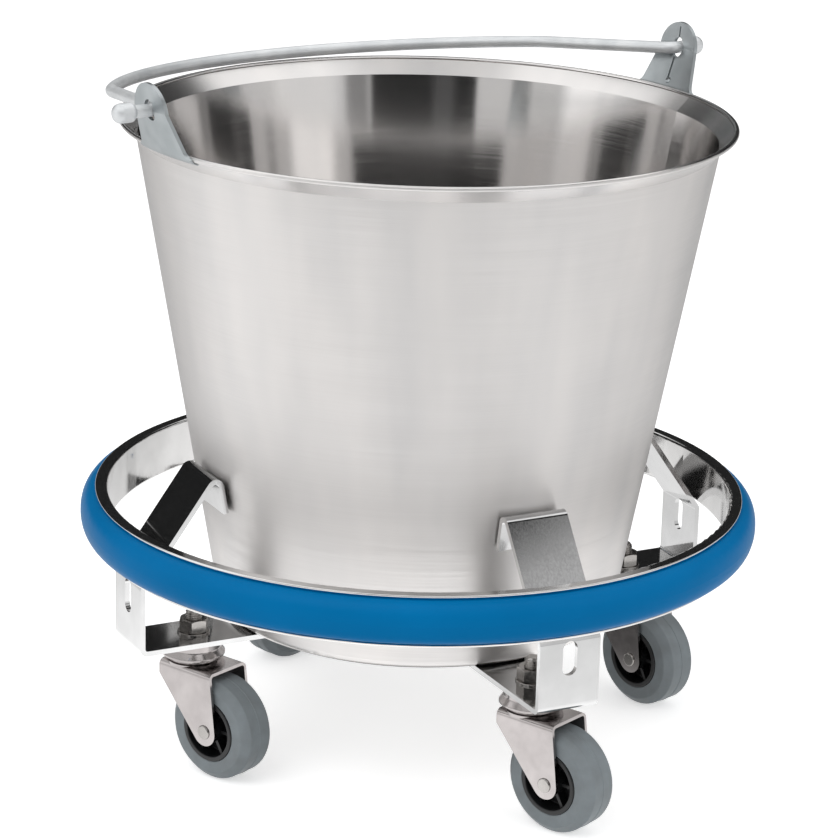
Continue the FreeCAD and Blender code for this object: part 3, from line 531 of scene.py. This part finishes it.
def threaded_stud(corner, sizes, material):
    """Stud with its head, shank and a rolled thread, in the place of the CAD stud."""
    node_name = "caster_stud_" + corner
    low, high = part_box(node_name)
    segments = sizes.round_segments
    head = (high[0] - low[0]) / 2
    shank = sizes.stud_radius
    profile = [
        (low[2], head - sizes.head_round),
        (low[2] + sizes.head_round, head),
        (low[2] + sizes.head_height, head),
        (low[2] + sizes.head_height, shank),
    ]
    rings = [(z, [radius] * segments) for z, radius in profile]
    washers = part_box("stud_washers")
    thread_low = washers[0][2] - sizes.thread_pitch
    thread_high = high[2] - sizes.point_height
    steps = round((high[2] - thread_low) / sizes.thread_pitch * sizes.thread_steps)
    for i in range(steps + 1):
        z = thread_low + (high[2] - thread_low) * i / steps
        # the thread runs out over its first turn, and is cut off by the point's chamfer
        fade = min(1.0, (z - thread_low) / sizes.thread_pitch)
        point = max(0.0, z - thread_high) / sizes.point_height
        crest = shank - point * sizes.point_inset
        radii = []
        for k in range(segments):
            cut = thread_radius(z - low[2], k / segments, shank, sizes)
            radii.append(min(crest, shank + (cut - shank) * fade))
        rings.append((z, radii))
    mesh = turned_mesh("stud_" + corner, rings, segments)
    mesh.materials.append(material)
    stud = bpy.data.objects.new("stud_" + corner, mesh)
    stud.location = ((low[0] + high[0]) / 2, (low[1] + high[1]) / 2, 0.0)
    bpy.context.scene.collection.objects.link(stud)
    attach(stud, "carriage")
    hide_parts(node_name)


# ------------------------------------------------------------------ dressing the frame
def dress(node_name, material):
    """Give a CAD node its finish."""
    piece = NODES[node_name]
    if not piece.material_slots:
        piece.data.materials.append(material)
    for material_slot in piece.material_slots:
        material_slot.material = material


def break_edges(node_name, width):
    """Break the sharp edges of a CAD node by a fine bevel, and leave its bends alone."""
    bevel = NODES[node_name].modifiers.new("broken_edges", "BEVEL")
    bevel.width = width
    bevel.segments = 2
    bevel.limit_method = "ANGLE"
    bevel.angle_limit = SHARP_EDGE
    bevel.harden_normals = True


class KICKBUCKET_OT_pail(Operator):
    """Finish the pail"""
    bl_idname = "kick_bucket.pail"
    bl_label = "Pail"

    def execute(self, context):
        dress("pail", satin_stainless_sheet(context.scene.kick_bucket_colours))
        return {"FINISHED"}


class KICKBUCKET_OT_ears(Operator):
    """Finish the two ears that carry the bail"""
    bl_idname = "kick_bucket.ears"
    bl_label = "Ears"

    def execute(self, context):
        material = tumbled_stainless(context.scene.kick_bucket_colours)
        for node_name in ("ear_right", "ear_left"):
            dress(node_name, material)
            break_edges(node_name, context.scene.kick_bucket_sizes.edge_bevel)
        return {"FINISHED"}


class KICKBUCKET_OT_bail(Operator):
    """Finish the wire bail"""
    bl_idname = "kick_bucket.bail"
    bl_label = "Bail"

    def execute(self, context):
        dress("bail_handle", drawn_stainless_wire(context.scene.kick_bucket_colours))
        return {"FINISHED"}


class KICKBUCKET_OT_ring(Operator):
    """Finish the hoop and its bumper strip"""
    bl_idname = "kick_bucket.ring"
    bl_label = "Bumper ring"

    def execute(self, context):
        colours = context.scene.kick_bucket_colours
        dress("hoop_channel", polished_strip("polished_rolled_channel", colours.hoop_steel,
                                             colours.hoop_shade))
        dress("bumper_strip", blue_bumper_rubber(colours))
        return {"FINISHED"}


class KICKBUCKET_OT_brackets(Operator):
    """Finish the four brackets"""
    bl_idname = "kick_bucket.brackets"
    bl_label = "Brackets"

    def execute(self, context):
        sizes = context.scene.kick_bucket_sizes
        colours = context.scene.kick_bucket_colours
        material = polished_strip("polished_plated_strip", colours.bright_steel,
                                  colours.bright_shade)
        for corner in CORNERS:
            dress("bracket_" + corner, material)
            break_edges("bracket_" + corner, sizes.edge_bevel)
        return {"FINISHED"}


class KICKBUCKET_OT_casters(Operator):
    """Finish the forks, bearings, studs, wheels and tyres"""
    bl_idname = "kick_bucket.casters"
    bl_label = "Casters"

    def execute(self, context):
        sizes = context.scene.kick_bucket_sizes
        colours = context.scene.kick_bucket_colours
        nickel = nickel_plate(colours)
        zinc = zinc_plate(colours)
        finishes = {
            "caster_fork": nickel,
            "swivel_race": nickel,
            "swivel_balls": bearing_steel(colours),
            "caster_stud": zinc,
            "axle_sleeve": zinc,
            "axle_rivet": zinc,
            "wheel_hub": black_hub_nylon(colours),
            "wheel_tyre": grey_tyre_rubber(colours),
        }
        for corner in CORNERS:
            for piece, material in finishes.items():
                dress(piece + "_" + corner, material)
            break_edges("caster_fork_" + corner, sizes.edge_bevel)
            threaded_stud(corner, sizes, zinc)
        for node_name in ("stud_nuts", "stud_washers"):
            dress(node_name, zinc)
        return {"FINISHED"}


# ------------------------------------------------------------------ stage
def direction(azimuth, elevation, distance):
    """Place seen from the middle of the object: azimuth 0 is towards -Y, 90 towards -X."""
    a = math.radians(azimuth)
    e = math.radians(elevation)
    level = math.cos(e) * distance
    return Vector((-math.sin(a) * level, -math.cos(a) * level, math.sin(e) * distance))


def aim(thing, place, target, roll=0.0):
    """Stand a camera or lamp at a place, with its -Z axis on the target."""
    turn = (Vector(target) - Vector(place)).to_track_quat("-Z", "Y")
    thing.matrix_world = (Matrix.Translation(Vector(place)) @ turn.to_matrix().to_4x4()
                          @ Matrix.Rotation(roll, 4, "Z"))


def flat_sheet(name, width, height, material):
    """Level sheet on the floor, round the middle of the object."""
    half_w, half_h = width / 2, height / 2
    mesh = bpy.data.meshes.new(name)
    mesh.from_pydata([(-half_w, -half_h, 0), (half_w, -half_h, 0),
                      (half_w, half_h, 0), (-half_w, half_h, 0)], [], [(0, 1, 2, 3)])
    mesh.materials.append(material)
    sheet = bpy.data.objects.new(name, mesh)
    bpy.context.scene.collection.objects.link(sheet)


def curved_card(name, azimuths, elevations, soft, distance, material):
    """Card bent round the object, between two azimuths and two elevations in degrees.

    Its cover is 1, and 0 along the edges: soft is the width over which it fades. A card that
    goes all the way round has no edge at its sides.
    """
    low, high = azimuths
    covered = high - low - 2 * soft
    steps = max(1, math.ceil(covered / CARD_FACET))
    columns = [low, *(low + soft + covered * i / steps for i in range(steps + 1)), high]
    bottom, top = elevations
    rows = [bottom, bottom + soft, top - soft, top]
    all_round = high - low >= 360
    places = []
    cover = []
    faces = []
    for i, azimuth in enumerate(columns):
        side = i in (0, len(columns) - 1) and not all_round
        for j, elevation in enumerate(rows):
            places.append(direction(azimuth, elevation, distance))
            cover.append(0.0 if side or j in (0, len(rows) - 1) else 1.0)
            if i and j:
                here = i * len(rows) + j
                faces.append((here, here - 1, here - 1 - len(rows), here - len(rows)))
    mesh = bpy.data.meshes.new(name)
    mesh.from_pydata(places, [], faces)
    mesh.attributes.new("cover", "FLOAT", "POINT").data.foreach_set("value", cover)
    mesh.materials.append(material)
    card = bpy.data.objects.new(name, mesh)
    bpy.context.scene.collection.objects.link(card)
    card.visible_camera = False
    card.visible_diffuse = False
    card.visible_shadow = False


def hang_cards(colours):
    """Hang the cards, which only polished metal and plastic mirror."""
    for name, (level, az_from, az_to, low, high, soft, distance) in CARDS.items():
        paint = bright_card(colours, level) if level else black_card(colours)
        curved_card(name, (az_from, az_to), (low, high), soft, distance, paint)


def hang_lamps(scene):
    """Hang the lamps, which light the object and aren't mirrored in it."""
    for name, (azimuth, elevation, side, power) in LAMPS.items():
        light = bpy.data.lights.new(name, "AREA")
        light.shape = "SQUARE"
        light.size = side
        light.energy = power
        lamp = bpy.data.objects.new(name, light)
        scene.collection.objects.link(lamp)
        aim(lamp, direction(azimuth, elevation, LAMP_DISTANCE), CAMERA_AIM)
        lamp.visible_glossy = False


def light_room(scene):
    """Light the room evenly: white where it is seen, and at its own level on metal."""
    world = bpy.data.worlds.new("studio")
    scene.world = world
    world.use_nodes = True
    tree = world.node_tree
    tree.nodes.clear()
    rays = add_node(tree, "ShaderNodeLightPath")
    room = add_node(tree, "ShaderNodeMapRange", {"To Min": DIFFUSE_ROOM, "To Max": GLOSSY_ROOM},
                    {"Value": rays.outputs["Is Glossy Ray"]})
    level = add_node(tree, "ShaderNodeMath", {"operation": "MAXIMUM"},
                     {0: rays.outputs["Is Camera Ray"], 1: room.outputs[0]})
    back = add_node(tree, "ShaderNodeBackground", {"Color": (1, 1, 1, 1)},
                    {"Strength": level.outputs[0]})
    add_node(tree, "ShaderNodeOutputWorld", links={"Surface": back.outputs[0]})


def set_camera(scene):
    """Stand the camera, and keep colours as they are written."""
    view = bpy.data.cameras.new("camera")
    view.lens = CAMERA_LENS
    view.sensor_width = CAMERA_SENSOR
    camera = bpy.data.objects.new("camera", view)
    scene.collection.objects.link(camera)
    aim(camera, CAMERA_PLACE, CAMERA_AIM, CAMERA_ROLL)
    scene.camera = camera
    scene.view_settings.view_transform = "Standard"


class KICKBUCKET_OT_stage(Operator):
    """Lay the floor, hang the lamps and cards, and set the camera"""
    bl_idname = "kick_bucket.stage"
    bl_label = "Stage"

    def execute(self, context):
        floor_width = context.scene.kick_bucket_sizes.floor_width
        colours = context.scene.kick_bucket_colours
        flat_sheet("studio_floor", floor_width, floor_width, pale_studio_floor(colours))
        hang_cards(colours)
        hang_lamps(context.scene)
        light_room(context.scene)
        set_camera(context.scene)
        return {"FINISHED"}


class KICKBUCKET_PT_sidebar(Panel):
    """Sidebar list of the pieces and the stage, with their sizes and colours"""
    bl_idname = "KICKBUCKET_PT_sidebar"
    bl_label = "Kick Bucket"
    bl_space_type = "VIEW_3D"
    bl_region_type = "UI"
    bl_category = "Kick Bucket"

    def draw(self, context):
        for operator in OPERATORS:
            self.layout.operator(operator.bl_idname)
        for group in (context.scene.kick_bucket_sizes, context.scene.kick_bucket_colours):
            for name in group.__annotations__:
                self.layout.prop(group, name)


OPERATORS = (
    KICKBUCKET_OT_pail,
    KICKBUCKET_OT_ears,
    KICKBUCKET_OT_bail,
    KICKBUCKET_OT_ring,
    KICKBUCKET_OT_brackets,
    KICKBUCKET_OT_casters,
    KICKBUCKET_OT_stage,
)
CLASSES = (KickBucketColours, KickBucketSizes, *OPERATORS, KICKBUCKET_PT_sidebar)


def register():
    for cls in CLASSES:
        bpy.utils.register_class(cls)
    bpy.types.Scene.kick_bucket_colours = PointerProperty(type=KickBucketColours)
    bpy.types.Scene.kick_bucket_sizes = PointerProperty(type=KickBucketSizes)


def unregister():
    del bpy.types.Scene.kick_bucket_sizes
    del bpy.types.Scene.kick_bucket_colours
    for cls in reversed(CLASSES):
        bpy.utils.unregister_class(cls)


def main():
    register()
    for operator in OPERATORS:
        family, name = operator.bl_idname.split(".")
        getattr(getattr(bpy.ops, family), name)()


if __name__ == "__main__":
    main()
